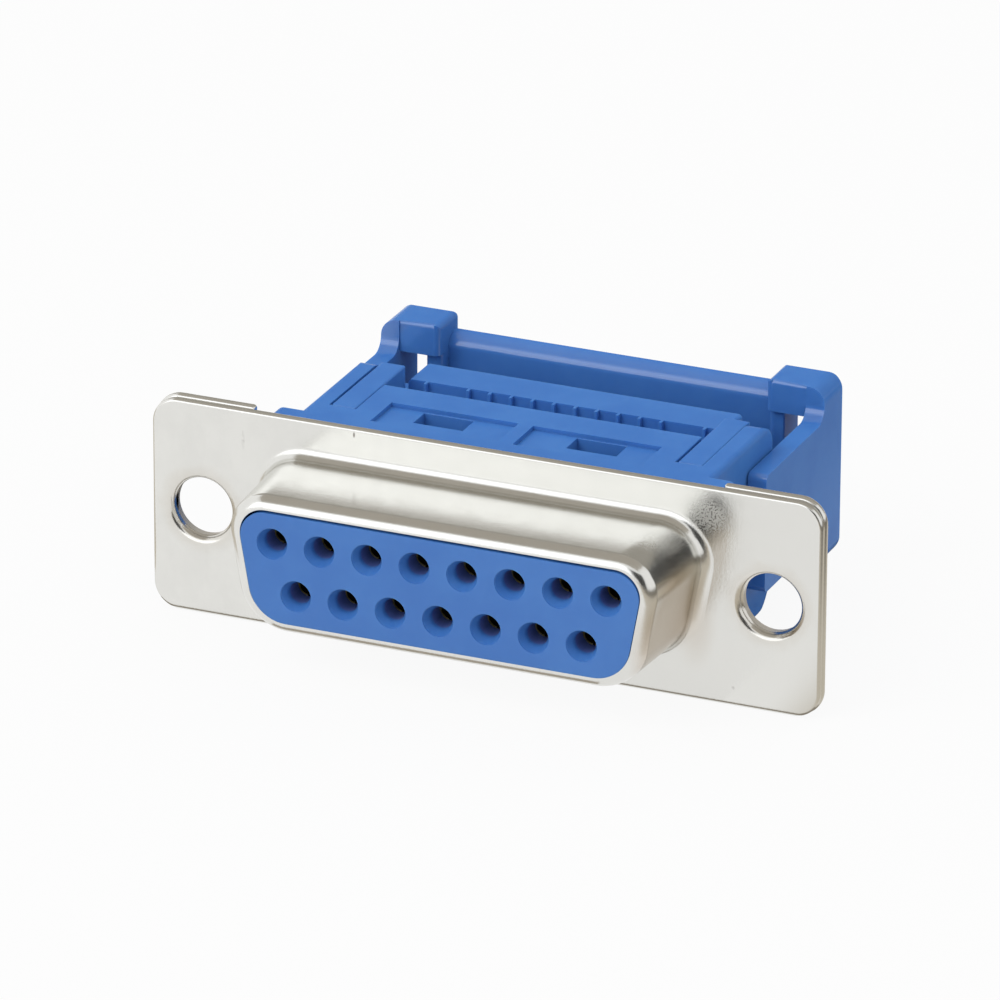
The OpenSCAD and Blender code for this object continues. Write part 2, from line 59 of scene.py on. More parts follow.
MM = 0.001
TINY = 1e-9
UP: Point = (0.0, 0.0, 1.0)
DOWN: Point = (0.0, 0.0, -1.0)
FORWARD: Point = (0.0, -1.0, 0.0)
WHITE: Colour = (1.0, 1.0, 1.0)

HOLE_X = 16.65 * MM  # the panel holes' axes lie this far from the middle
NEAR = 0.02 * MM  # a vertex this near to a face or a circle lies on it
WELD = 0.012 * MM  # vertices of a CAD node that are nearer than this become one
MERGE_ANGLE = math.radians(0.5)  # faces that turn less than this merge into one
FLAT_ANGLE = math.radians(0.3)  # faces that turn less than this are shaded as one flat
CREASE_ANGLE = math.radians(50)  # flats that turn more than this keep a sharp edge in shading
SHARP_ANGLE = math.radians(32)  # edges that turn more than this can be rounded
CUT_ANGLE = math.radians(60)  # edges that turn more than this are cut edges of the sheet
BREADTH_POWER = 3  # how much more a broad flat weighs than a strip in shading
LEAST_WEIGHT = 1e-24
MIX_INPUTS, MIX_OUTPUT = (0, 6, 7), 2  # the Mix node's share and colours, and its mixed colour


class Body(Enum):
    """The three bodies of the frame that pieces ride on."""

    CONNECTOR = "connector_body"
    COVER = "cover"
    RELIEF = "strain_relief"


class Slot(Enum):
    """The material slots of the record."""

    STEEL = "plated_steel"
    PLASTIC = "blue_plastic"
    CONTACT = "contact_gold"


class Axis(Enum):
    """The axes of the frame, by their place in a vector."""

    X = 0
    Y = 1
    Z = 2


class Sum(Enum):
    """The sums that the finishes are worked out with."""

    ADD = "ADD"
    SUBTRACT = "SUBTRACT"
    MULTIPLY = "MULTIPLY"
    MAXIMUM = "MAXIMUM"
    ABSOLUTE = "ABSOLUTE"
    SQRT = "SQRT"


def mm(*lengths: float) -> tuple[float, ...]:
    """Turns lengths in millimetres into metres."""
    return tuple(length * MM for length in lengths)


def shade(colour: Colour, share: float) -> Colour:
    """Makes a colour darker or brighter, up to white."""
    return tuple(min(part * share, 1.0) for part in colour)


def srgb(red: int, green: int, blue: int) -> Colour:
    """Turns a colour of 0 to 255 into linear light, with the numbers of the sRGB standard."""
    shares = (red / 255, green / 255, blue / 255)
    return tuple(s / 12.92 if s <= 0.04045 else ((s + 0.055) / 1.055) ** 2.4 for s in shares)


@dataclass(frozen=True)
class Pattern:
    """A noise on a piece's own coordinates.

    Attributes:
        size: Size of a patch in metres.
        detail: Number of finer layers.
        stretch: How much denser the pattern is along each axis.
        rough: Weight of the finer layers.
        limits: The noise values that count as none and as full.
    """

    size: float
    detail: float
    stretch: Point = (1.0, 1.0, 1.0)
    rough: float = 0.55
    limits: Span = (0.3, 0.7)


@dataclass(frozen=True)
class Mark:
    """A worn or dirty place on a finish, or a patch of painted reflection.

    Attributes:
        centre: Its middle in metres.
        reach: Its half size along each axis, in metres.
        depth: Share of its tone that shows.
        grain: Size of its specks in metres, or 0 for an even mark.
        edge: Share of the reach over which it fades.
        tone: Its colour.
        haze: Roughness that it adds.
    """

    centre: Point
    reach: Point
    depth: float
    grain: float = 0.18 * MM
    edge: float = 0.7
    tone: Colour = (0.16, 0.14, 0.12)
    haze: float = 0.0


class Desk:
    """Adds and joins the nodes of one shader tree."""

    def __init__(self, tree: bpy.types.NodeTree) -> None:
        """Takes the tree to work on."""
        self.tree = tree

    def join(self, value: object, socket: Socket) -> None:
        """Links a socket, or sets a plain value.

        Args:
            value: A socket, a number or a colour.
            socket: The input that takes it.
        """
        if isinstance(value, Socket):
            self.tree.links.new(value, socket)
        elif isinstance(value, tuple) and socket.type == "RGBA":
            socket.default_value = (*value, 1.0)
        else:
            socket.default_value = value

    def add(self, kind: str, settings: dict[str, object] | None = None,
            **inputs: object) -> bpy.types.Node:
        """Adds one node.

        Args:
            kind: The node's type.
            settings: Properties of the node itself.
            **inputs: Values or sockets by input name, with _ for a space.

        Returns:
            The new node.
        """
        node = self.tree.nodes.new(kind)
        for key, value in (settings or {}).items():
            setattr(node, key, value)
        for key, value in inputs.items():
            self.join(value, node.inputs[key.replace("_", " ")])
        return node

    def feed(self, kind: str, settings: dict[str, object] | None,
             *values: object) -> bpy.types.Node:
        """Adds one node and fills its inputs by their order.

        Args:
            kind: The node's type.
            settings: Properties of the node itself.
            *values: Values or sockets.

        Returns:
            The new node.
        """
        node = self.add(kind, settings)
        for value, socket in zip(values, node.inputs):
            self.join(value, socket)
        return node

    def ramp(self, value: Socket, limits: Span, result: Span = (0.0, 1.0)) -> Socket:
        """Maps a value smoothly from one range to another.

        Args:
            value: The socket to map.
            limits: Inputs that give the first and the last result.
            result: Outputs at the two limits.

        Returns:
            The mapped value.
        """
        node = self.add("ShaderNodeMapRange", {"interpolation_type": "SMOOTHSTEP"}, Value=value,
                        From_Min=limits[0], From_Max=limits[1], To_Min=result[0], To_Max=result[1])
        return node.outputs["Result"]

    def work(self, step: Sum, first: object, second: object = 0.0) -> Socket:
        """Works out one sum of two values or sockets."""
        return self.feed("ShaderNodeMath", {"operation": step.value}, first, second).outputs[0]

    def shown_rays(self) -> Socket:
        """Marks the camera, glossy and transmission rays with 1 and the rest with 0."""
        path = self.add("ShaderNodeLightPath").outputs
        mirrored = self.work(Sum.MAXIMUM, path["Is Glossy Ray"], path["Is Transmission Ray"])
        return self.work(Sum.MAXIMUM, path["Is Camera Ray"], mirrored)


class Bench(Desk):
    """Builds one material on the piece's own coordinates."""

    def __init__(self, name: str) -> None:
        """Starts an empty material of that name."""
        self.material = bpy.data.materials.new(name)
        self.material.use_nodes = True
        super().__init__(self.material.node_tree)
        self.tree.nodes.clear()
        self.surface = self.add("ShaderNodeOutputMaterial").inputs["Surface"]
        self.coords = self.add("ShaderNodeTexCoord").outputs["Object"]

    def along(self, axis: Axis) -> Socket:
        """Gives the place along one axis, in metres."""
        return self.add("ShaderNodeSeparateXYZ", Vector=self.coords).outputs[axis.value]

    def mix(self, share: Socket, first: object, second: object) -> Socket:
        """Mixes two colours.

        Args:
            share: How much of the second colour shows.
            first: First colour.
            second: Second colour.

        Returns:
            The mixed colour.
        """
        node = self.add("ShaderNodeMix", {"data_type": "RGBA"})
        for value, place in zip((share, first, second), MIX_INPUTS):
            self.join(value, node.inputs[place])
        return node.outputs[MIX_OUTPUT]

    def noise(self, pattern: Pattern) -> Socket:
        """A noise on the piece's own coordinates.

        Args:
            pattern: What it looks like.

        Returns:
            The noise value from 0 to 1.
        """
        placed = self.add("ShaderNodeMapping", Vector=self.coords, Scale=pattern.stretch)
        node = self.add("ShaderNodeTexNoise", Vector=placed.outputs[0], Scale=1 / pattern.size,
                        Detail=pattern.detail, Roughness=pattern.rough)
        return node.outputs["Fac"]

    def spread(self, pattern: Pattern, result: Span = (0.0, 1.0)) -> Socket:
        """A noise spread between its limits, which give the first and the last result."""
        return self.ramp(self.noise(pattern), pattern.limits, result)

    def spot(self, mark: Mark) -> Socket:
        """A soft spot where a mark lies.

        Args:
            mark: The mark.

        Returns:
            1 inside the spot and 0 outside it.
        """
        kind = "ShaderNodeVectorMath"
        moved = self.feed(kind, {"operation": "SUBTRACT"}, self.coords, mark.centre)
        scaled = self.feed(kind, {"operation": "DIVIDE"}, moved.outputs["Vector"], mark.reach)
        length = self.feed(kind, {"operation": "LENGTH"}, scaled.outputs["Vector"])
        return self.ramp(length.outputs["Value"], (1.0 - mark.edge, 1.0), (1.0, 0.0))

    def bump(self, height: Socket, depth: float, strength: float) -> Socket:
        """Surface relief of a height pattern, so many metres deep, of which a share shows."""
        node = self.add("ShaderNodeBump", Strength=strength, Distance=depth, Height=height)
        return node.outputs["Normal"]

    def finish(self, kind: str, **inputs: object) -> Material:
        """Ends the material in a shader of that kind, with its inputs by name."""
        self.join(self.add(kind, **inputs).outputs[0], self.surface)
        return self.material


@dataclass(frozen=True)
class WornFinish:
    """What the two worn finishes share: an uneven gloss and marks.

    Attributes:
        uneven: How far the roughness goes below and above the middle.
        sheen: Pattern of the uneven roughness.
        speckle: Pattern of a mark's specks, at the size that the mark gives.
    """

    name: str
    marks: tuple[Mark, ...] = ()
    roughness: float = 0.2
    uneven: Span = (-0.03, 0.05)
    sheen: Pattern = Pattern(1.6 * MM, 4)
    speckle: Pattern = Pattern(0.18 * MM, 4)

    def gloss(self, bench: Bench) -> Socket:
        """Works out the uneven roughness on a bench."""
        low, high = (self.roughness + step for step in self.uneven)
        return bench.spread(self.sheen, (low, high))

    def lay_marks(self, bench: Bench, colour: Socket, gloss: Socket) -> tuple[Socket, Socket]:
        """Lays the marks over the finish.

        Args:
            bench: Its bench.
            colour: The colour without them.
            gloss: The roughness without them.

        Returns:
            The colour and the roughness with them.
        """
        for mark in self.marks:
            wear = bench.spot(mark)
            if mark.grain:
                specks = bench.spread(replace(self.speckle, size=mark.grain))
                wear = bench.work(Sum.MULTIPLY, wear, specks)
            colour = bench.mix(bench.work(Sum.MULTIPLY, wear, mark.depth), colour, mark.tone)
            gloss = bench.work(Sum.ADD, gloss, bench.work(Sum.MULTIPLY, wear, mark.haze))
        return colour, gloss


@dataclass(frozen=True)
class MouldedPlastic(WornFinish):
    """Blue plastic with a fine eroded skin, which loses its gloss where it is seen from low down.

    Attributes:
        flow: Pattern of the faint lines that the plastic's flow leaves.
        level: Strength of the mirroring where it is seen square on.
        low_level: The same where it is seen from low down.
        low_view: Share of low view at which the mirroring starts and ends to fade.
        bore_front: Where the painted shade on the bores' walls begins, or None for a moulding
            without bores.
        bore_end: Where that painted shade turns back to the common colour.
        bleed: Share of the light that wanders below the skin.
    """

    speckle: Pattern = Pattern(0.18 * MM, 4, (0.4, 1.0, 1.0), limits=(0.35, 0.6))
    base: Colour = srgb(62, 110, 178)
    pale: Colour = srgb(66, 115, 182)
    mottle: Pattern = Pattern(4 * MM, 3, limits=(0.35, 0.65))
    flow: Pattern = Pattern(0.9 * MM, 2, (1.0, 0.25, 1.0), limits=(0.45, 0.8))
    flow_tone: Colour = srgb(88, 132, 196)
    flow_share: float = 0.05
    level: float = 0.3
    low_level: float = 0.03
    low_view: Span = (0.15, 0.58)
    bore_front: float | None = None
    bore_fade: float = 0.3 * MM
    bore_end: Span = (-1.0 * MM, -0.5 * MM)
    bore_shade_tone: Colour = (0.08, 0.12, 0.33)
    bleed: float = 0.25
    bleed_tint: Colour = (0.4, 0.8, 1.0)
    bleed_depth: float = 0.6 * MM
    ior: float = 1.58
    skin: Pattern = Pattern(0.12 * MM, 2)
    skin_depth: float = 0.003 * MM
    skin_strength: float = 0.5

    def bore_shade_mask(self, bench: Bench) -> Socket:
        """Marks the walls of the bores, where shade is painted into the colour.

        Args:
            bench: Its bench.

        Returns:
            1 on those walls and 0 elsewhere.
        """
        inward = bench.along(Axis.Y)
        entered = bench.ramp(inward, (self.bore_front, self.bore_front + self.bore_fade))
        return bench.work(Sum.MULTIPLY, entered, bench.ramp(inward, self.bore_end, (1.0, 0.0)))

    def build(self) -> Material:
        """Makes the material.

        Returns:
            The material.
        """
        bench = Bench(self.name)
        colour = bench.mix(bench.spread(self.mottle), self.base, self.pale)
        streaks = bench.spread(self.flow, (0.0, self.flow_share))
        colour = bench.mix(streaks, colour, self.flow_tone)
        colour, gloss = self.lay_marks(bench, colour, self.gloss(bench))
        # painted shade: the bores' walls turn to a dark tone deeper in the housing
        if self.bore_front is not None:
            colour = bench.mix(self.bore_shade_mask(bench), colour, self.bore_shade_tone)
        facing = bench.add("ShaderNodeLayerWeight").outputs["Facing"]
        level = bench.ramp(facing, self.low_view, (self.level, self.low_level))
        skin = bench.bump(bench.noise(self.skin), self.skin_depth, self.skin_strength)
        return bench.finish(
            "ShaderNodeBsdfPrincipled", Base_Color=colour, Roughness=gloss, IOR=self.ior,
            Specular_IOR_Level=level, Subsurface_Weight=self.bleed,
            Subsurface_Radius=self.bleed_tint, Subsurface_Scale=self.bleed_depth, Normal=skin)


@dataclass(frozen=True)
class PlatedSteel(WornFinish):
    """Tin plated sheet: satin, nearly white, with faint clouds and stained rims round its holes.

    Attributes:
        cloud_shares: Brightness of its dark and of its bright clouds.
        far_reflection_share: Brightness at the flange's right end: a painted reflection that
            darkens the steel towards the right.
        drawn: Pattern of the lines that the drawing tool leaves.
        drawn_haze: Where they add roughness, and how much.
        stain_reach: Distances from the hole's axis at which it starts and ends to fade.
        stain_wander: How far its edge wanders.
        dull: Colour of the sheared walls of the rear plates' holes.
        wall_reach: Distance from the axis at which those walls end.
        wall_depth: Distance behind the flange's face at which they begin.
    """

    roughness: float = 0.185
    uneven: Span = (-0.02, 0.03)
    sheen: Pattern = Pattern(1.2 * MM, 4)
    speckle: Pattern = Pattern(0.18 * MM, 4, limits=(0.38, 0.62))
    base: Colour = (0.765, 0.76, 0.728)
    cloud: Pattern = Pattern(2.6 * MM, 5, rough=0.62, limits=(0.36, 0.66))
    cloud_shares: Span = (0.98, 1.02)
    half_w: float = 19.57 * MM
    far_reflection_share: float = 0.96
    drawn: Pattern = Pattern(0.22 * MM, 3, (1.0, 1.0, 0.09), limits=(0.58, 0.8))
    drawn_share: float = 0.86
    drawn_depth: float = 0.1
    drawn_haze: tuple[Span, Span] = ((0.5, 0.75), (0.0, 0.03))
    stain: Colour = (0.60, 0.55, 0.47)
    stain_share: float = 0.34
    stain_reach: Span = (1.35 * MM, 2.35 * MM)
    stain_edge: Pattern = Pattern(1.1 * MM, 3)
    stain_wander: float = 0.9 * MM
    dull: Colour = (0.40, 0.37, 0.32)
    wall_reach: Span = (1.79 * MM, 1.82 * MM)
    wall_depth: Span = (0.47 * MM, 0.51 * MM)
    fine: Pattern = Pattern(0.16 * MM, 3)
    fine_share: float = 0.6
    relief_depth: float = 0.008 * MM
    relief_strength: float = 0.8

    def from_hole(self, bench: Bench) -> Socket:
        """Works out the distance from the axis of the nearer panel hole.

        Args:
            bench: Its bench.

        Returns:
            The distance in metres.
        """
        aside = bench.work(Sum.ABSOLUTE, bench.along(Axis.X))
        across, rise = bench.work(Sum.SUBTRACT, aside, HOLE_X), bench.along(Axis.Z)
        squares = [bench.work(Sum.MULTIPLY, leg, leg) for leg in (across, rise)]
        return bench.work(Sum.SQRT, bench.work(Sum.ADD, *squares))

    def hole_rings(self, bench: Bench) -> Socket:
        """Brown-grey halo round the two panel holes.

        Args:
            bench: Its bench.

        Returns:
            Strength of the halo.
        """
        wander = bench.work(Sum.MULTIPLY, bench.noise(self.stain_edge), self.stain_wander)
        reach = bench.work(Sum.SUBTRACT, self.from_hole(bench), wander)
        return bench.ramp(reach, self.stain_reach, (1.0, 0.0))

    def sheared_wall(self, bench: Bench) -> Socket:
        """Marks the dull sheared walls of the rear plates' holes with 1, the rest with 0."""
        inside = bench.ramp(self.from_hole(bench), self.wall_reach, (1.0, 0.0))
        return bench.work(Sum.MULTIPLY, inside, bench.ramp(bench.along(Axis.Y), self.wall_depth))

    def build(self) -> Material:
        """Makes the material.

        Returns:
            The material.
        """
        bench = Bench(self.name)
        dark, bright = (shade(self.base, share) for share in self.cloud_shares)
        colour = bench.mix(bench.spread(self.cloud), dark, bright)
        # painted reflection: the steel darkens from the flange's left end to its right end
        reflection_fade = bench.ramp(bench.along(Axis.X), (-self.half_w, self.half_w))
        colour = bench.mix(reflection_fade, colour, shade(self.base, self.far_reflection_share))
        drawn = bench.noise(self.drawn)
        lines = bench.ramp(drawn, self.drawn.limits, (0.0, self.drawn_depth))
        colour = bench.mix(lines, colour, shade(self.base, self.drawn_share))
        halo = bench.work(Sum.MULTIPLY, self.hole_rings(bench), self.stain_share)
        colour = bench.mix(halo, colour, self.stain)
        gloss = bench.work(Sum.ADD, self.gloss(bench), bench.ramp(drawn, *self.drawn_haze))
        colour, gloss = self.lay_marks(bench, colour, gloss)
        wall = self.sheared_wall(bench)
        colour = bench.mix(wall, colour, self.dull)
        relief = bench.work(
            Sum.ADD, bench.work(Sum.MULTIPLY, bench.noise(self.fine), self.fine_share),
            bench.work(Sum.MULTIPLY, drawn, 1.0 - self.fine_share))
        return bench.finish(
            "ShaderNodeBsdfPrincipled", Base_Color=colour, Roughness=gloss,
            Metallic=bench.work(Sum.SUBTRACT, 1.0, wall),
            Normal=bench.bump(relief, self.relief_depth, self.relief_strength))


@dataclass(frozen=True)
class ContactGold:
    """Thin gold flash over the contacts' nickel, bright on the forks and darkened by painted shade
    in the bores.

    Attributes:
        bright: Its colour on the forks.
        turn: Where the painted shade of the bores starts and ends to give way to the bright
            colour, behind the flange's face.
        roughness: Its least and its greatest roughness.
    """

    name: str
    # the dark base colour is painted shade of the bores
    base: Colour = (0.32, 0.27, 0.10)
    cloud: Pattern = Pattern(0.8 * MM, 3)
    cloud_share: float = 0.88
    bright: Colour = (0.78, 0.66, 0.38)
    turn: Span = (4.0 * MM, 8.0 * MM)
    drawn: Pattern = Pattern(0.08 * MM, 2, (1.0, 0.15, 1.0))
    roughness: Span = (0.36, 0.48)
    relief_depth: float = 0.001 * MM
    relief_strength: float = 0.5

    def build(self) -> Material:
        """Makes the material.

        Returns:
            The material.
        """
        bench = Bench(self.name)
        dark = shade(self.base, self.cloud_share)
        colour = bench.mix(bench.spread(self.cloud), self.base, dark)
        # painted shade: dark where the contacts lie in the bores, bright gold towards the forks
        colour = bench.mix(bench.ramp(bench.along(Axis.Y), self.turn), colour, self.bright)
        relief = bench.bump(bench.noise(self.drawn), self.relief_depth, self.relief_strength)
        return bench.finish("ShaderNodeBsdfPrincipled", Base_Color=colour, Metallic=1.0,
                            Roughness=bench.spread(self.drawn, self.roughness), Normal=relief)


def new_piece(name: str, mesh: BMesh, body: Body, finish: Material,
              replaced: Iterable[str]) -> Object:
    """Makes a finished object of a mesh, dresses it and puts it on its body.

    Args:
        name: The piece's name.
        mesh: Its mesh, which is freed.
        body: The body that it rides on.
        finish: Its material.
        replaced: CAD nodes that it stands for.

    Returns:
        The piece.
    """
    data = bpy.data.meshes.new(name)
    mesh.to_mesh(data)
    mesh.free()
    piece = bpy.data.objects.new(name, data)
    bpy.context.scene.collection.objects.link(piece)
    data.materials.append(finish)
    even_normals(data)
    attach(piece, body.value)
    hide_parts(*replaced)
    LOG.info("%s: %d faces, rides on %s", name, len(data.polygons), body.value)
    return piece


def merged_copy(node: str) -> BMesh:
    """A clean mesh with the shape of a CAD node.

    Args:
        node: The node's name.

    Returns:
        The mesh with its tiny edges closed and its triangles merged into flats.
    """
    mesh = bmesh.new()
    mesh.from_mesh(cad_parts[node].data)
    bmesh.ops.remove_doubles(mesh, verts=mesh.verts, dist=WELD)
    merge_flats(mesh, mesh.edges)
    return mesh


def merge_flats(mesh: BMesh, edges: Sequence[BMEdge]) -> None:
    """Merges the faces of a mesh that lie in one plane, where these edges may go."""
    bmesh.ops.dissolve_limit(mesh, angle_limit=MERGE_ANGLE, verts=mesh.verts, edges=edges,
                             delimit=set())


@dataclass(frozen=True)
class Rounding:
    """How the edges of a mesh are rounded.

    Attributes:
        radius: How far the rounding reaches from the edge.
        steps: Number of strips across it.
        clamp: Whether it shrinks where it would meet another one.
        slide: Whether it follows the edges that it meets.
    """

    radius: float
    steps: int
    clamp: bool = True
    slide: bool = True


def soften(mesh: BMesh, rounding: Rounding, keep: EdgeTest) -> None:
    """Rounds the sharp outer edges of a mesh that pass a test.

    Args:
        mesh: The mesh.
        rounding: How they are rounded.
        keep: Tells whether an edge is rounded.
    """
    outer = (e for e in mesh.edges if len(e.link_faces) == 2 and e.is_convex)
    edges = [e for e in outer if e.calc_face_angle(0.0) > SHARP_ANGLE and keep(e)]
    bmesh.ops.bevel(mesh, geom=edges, offset=rounding.radius, offset_type="OFFSET",
                    affect="EDGES", segments=rounding.steps, profile=0.5, material=-1,
                    clamp_overlap=rounding.clamp, loop_slide=rounding.slide)


def hole_reach(vert: BMVert) -> float:
    """Distance of a vertex from the axis of the nearer panel hole."""
    return math.hypot(abs(vert.co.x) - HOLE_X, vert.co.z)


def flat_regions(mesh: BMesh) -> tuple[list[int], list[Vector], list[float]]:
    """Groups the faces of a mesh into flats.

    Args:
        mesh: The mesh.

    Returns:
        The flat of each face, then the normal and the weight of each flat. Broad flats weigh far
        more than strips.
    """
    mesh.faces.ensure_lookup_table()
    region = [-1] * len(mesh.faces)
    normals: list[Vector] = []
    weights: list[float] = []
    for seed in mesh.faces:
        if region[seed.index] >= 0:
            continue
        number = len(normals)
        region[seed.index] = number
        waiting, members = [seed], []
        while waiting:
            here = waiting.pop()
            members.append(here)
            for other in (f for edge in here.edges for f in edge.link_faces):
                turn = other.normal.angle(here.normal, math.pi)
                if region[other.index] < 0 and turn < FLAT_ANGLE:
                    region[other.index] = number
                    waiting.append(other)
        area = sum(f.calc_area() for f in members)
        border = sum(e.calc_length() for f in members for e in f.edges
                     if sum(region[g.index] == number for g in e.link_faces) < 2)
        normals.append(sum((f.normal * f.calc_area() for f in members), Vector()).normalized())
        weights.append((area / max(border, TINY)) ** BREADTH_POWER + LEAST_WEIGHT)
    return region, normals, weights


def even_normals(data: bpy.types.Mesh) -> None:
    """Shades a mesh smooth over its roundings and keeps its flats flat.

    Args:
        data: The mesh.
    """
    mesh = bmesh.new()
    mesh.from_mesh(data)
    region, normals, weights = flat_regions(mesh)
    least = math.cos(CREASE_ANGLE)
    bent: list[Vector] = []
    for face in mesh.faces:
        own = normals[region[face.index]]
        for loop in face.loops:
            near = {region[f.index] for f in loop.vert.link_faces}
            smooth = (normals[n] * weights[n] for n in near if normals[n].dot(own) > least)
            total = sum(smooth, Vector())
            bent.append((total if total.length > 0.0 else face.normal).normalized())
    mesh.free()
    data.shade_smooth()
    data.normals_split_custom_set(bent)


@dataclass(frozen=True)
class Arc:
    """One corner of an outline in the flange's plane: its centre, radius and end angles."""

    x: float
    z: float
    radius: float
    start: float
    stop: float


@dataclass
class FrontShell:
    """The drawn steel shell: a flange with two punched holes and a D-shaped nose.

    Attributes:
        lip_ring: Width of the ring of sheet round a hole that the lip is rolled in.
        slant: Slant of the nose's two ends.
        wide_r: Corner radius on the nose's long side, as narrow_r is on its short side.
        root_r: Radius of the bend from the flange to the nose.
        rim_r: Radius of the bend at the nose's rim.
        lift: How far the nose lies above the flange's middle.
        flare_x: How much wider the nose is at its root, on each side.
    """

    sheet: float = 0.5 * MM
    flange_w: float = 39.14 * MM
    flange_h: float = 12.4 * MM
    flange_r: float = 1.5 * MM
    hole_r: float = 1.7 * MM
    hole_steps: int = 96
    lip_ring: float = 0.62 * MM
    lip: Rounding = Rounding(0.46 * MM, 6, clamp=False)
    nose_w: float = 24.66 * MM
    nose_h: float = 7.8 * MM
    nose_len: float = 6.03 * MM
    slant: float = math.radians(10)
    wide_r: float = 2.2 * MM
    narrow_r: float = 2.9 * MM
    root_r: float = 0.66 * MM
    rim_r: float = 0.73 * MM
    lift: float = 0.1 * MM
    flare_x: float = 0.45 * MM
    corner_steps: int = 20
    bend_steps: int = 10
    border_roll: Rounding = Rounding(0.18 * MM, 4, slide=False)
    rim_roll: Rounding = Rounding(0.1 * MM, 3)
    rim_zone: float = 1.0 * MM
    weld: float = 0.001 * MM

    def nose_corners(self, out: float) -> list[Arc]:
        """Corner arcs of the nose's outline.

        Args:
            out: How far the outline lies outside the wall.

        Returns:
            The four arcs.
        """
        slant, quarter, half = self.slant, math.pi / 2, math.pi
        wide_x = self.nose_w / 2 - self.wide_r
        wide_z = self.nose_h / 2 - self.wide_r
        narrow_z = self.narrow_r - self.nose_h / 2
        reach = wide_x * math.cos(slant) - wide_z * math.sin(slant) + self.wide_r
        narrow_x = (reach - self.narrow_r + narrow_z * math.sin(slant)) / math.cos(slant)
        wide, narrow = self.wide_r + out, self.narrow_r + out
        return [
            Arc(wide_x, wide_z, wide, -slant, quarter),
            Arc(-wide_x, wide_z, wide, quarter, half + slant),
            Arc(-narrow_x, narrow_z, narrow, half + slant, half + quarter),
            Arc(narrow_x, narrow_z, narrow, half + quarter, 2 * half - slant),
        ]

    def flange_corners(self) -> list[Arc]:
        """Corner arcs of the flange's outline.

        Returns:
            The four arcs.
        """
        x, z = self.flange_w / 2 - self.flange_r, self.flange_h / 2 - self.flange_r
        quarter = math.pi / 2
        places = enumerate(((x, z), (-x, z), (-x, -z), (x, -z)))
        return [Arc(*at, self.flange_r, k * quarter, (k + 1) * quarter) for k, at in places]

    def outline(self, mesh: BMesh, corners: Sequence[Arc]) -> list[BMEdge]:
        """Draws a closed outline of arcs and straight lines in the flange's plane.

        Args:
            mesh: The mesh that takes it.
            corners: Its corners in order.

        Returns:
            The outline's edges.
        """
        before = set(mesh.edges)
        ends: list[tuple[BMVert, BMVert]] = []
        for arc in corners:
            first = mesh.verts.new((arc.x + arc.radius * math.cos(arc.start), 0.0,
                                    arc.z + arc.radius * math.sin(arc.start)))
            swept = bmesh.ops.spin(mesh, geom=[first], cent=(arc.x, 0.0, arc.z), axis=FORWARD,
                                   dvec=(0, 0, 0), angle=arc.stop - arc.start,
                                   steps=self.corner_steps, use_merge=False,
                                   use_normal_flip=False, use_duplicate=False)
            ends.append((first, next(v for v in swept["geom_last"] if isinstance(v, BMVert))))
        for (_, last), (first, _) in zip(ends, ends[1:] + ends[:1]):
            mesh.edges.new((last, first))
        return [e for e in mesh.edges if e not in before]

    def punched_holes(self, mesh: BMesh) -> list[BMEdge]:
        """Draws the two panel holes in the flange's plane, each with a ring of sheet round it.

        Args:
            mesh: The shell's mesh.

        Returns:
            The rings' outer edges.
        """
        outer: list[BMEdge] = []
        upright = Matrix.Rotation(math.pi / 2, 4, "X")
        for centre in (-HOLE_X, HOLE_X):
            place = Matrix.Translation((centre, 0, 0)) @ upright
            rings = []
            for radius in (self.hole_r, self.hole_r + self.lip_ring):
                drawn = bmesh.ops.create_circle(mesh, cap_ends=False, radius=radius,
                                                segments=self.hole_steps, matrix=place)
                rings.append(list({e for vert in drawn["verts"] for e in vert.link_edges}))
            bmesh.ops.bridge_loops(mesh, edges=rings[0] + rings[1])
            outer += rings[1]
        return outer

    def bend(self, centre: Span, radius: float, start: float, stop: float) -> list[Span]:
        """Points of one bend of the sheet's front skin.

        Args:
            centre: The bend's centre, as distance out from the wall and in front of the flange.
            radius: The bend's radius.
            start: First angle in degrees.
            stop: Last angle in degrees.

        Returns:
            Points as distance out and distance in front.
        """
        steps = range(self.bend_steps + 1)
        turns = [math.radians(start + (stop - start) * k / self.bend_steps) for k in steps]
        return [(centre[0] + radius * math.cos(t), centre[1] + radius * math.sin(t))
                for t in turns]

    def draw_nose(self, mesh: BMesh, root: Sequence[BMEdge]) -> None:
        """Draws the nose out of a cap, one ring of the bends after the other, and opens it.

        Args:
            mesh: The shell's mesh.
            root: The outline at which the nose leaves the flange.
        """
        cap = bmesh.ops.contextual_create(mesh, geom=root)["faces"][0]
        cap.normal_update()
        if cap.normal.y > 0:
            cap.normal_flip()
        section = self.bend((self.root_r, self.root_r), self.root_r, 270, 180)
        section += self.bend((-self.rim_r, self.nose_len - self.rim_r), self.rim_r, 0, 90)
        for (out, height), (next_out, next_height) in zip(section, section[1:]):
            if abs(out - next_out) < TINY:
                cap = bmesh.ops.extrude_discrete_faces(mesh, faces=[cap])["faces"][0]
                bmesh.ops.translate(mesh, verts=cap.verts, vec=(0.0, height - next_height, 0.0))
            else:
                bmesh.ops.inset_region(mesh, faces=[cap], thickness=out - next_out,
                                       depth=next_height - height, use_boundary=True,
                                       use_even_offset=True)
        bmesh.ops.delete(mesh, geom=[cap], context="FACES_ONLY")

    def flare(self, mesh: BMesh, skin: Iterable[BMVert]) -> None:
        """Widens the nose towards its root, as the drawing tool does, and lifts it.

        Args:
            mesh: The shell's mesh.
            skin: The nose's vertices.
        """
        for vert in set(skin):
            deep = 1.0 + vert.co.y / self.nose_len
            vert.co.x *= 1.0 + deep * self.flare_x / (self.nose_w / 2)
            vert.co.z += self.lift
        mesh.normal_update()

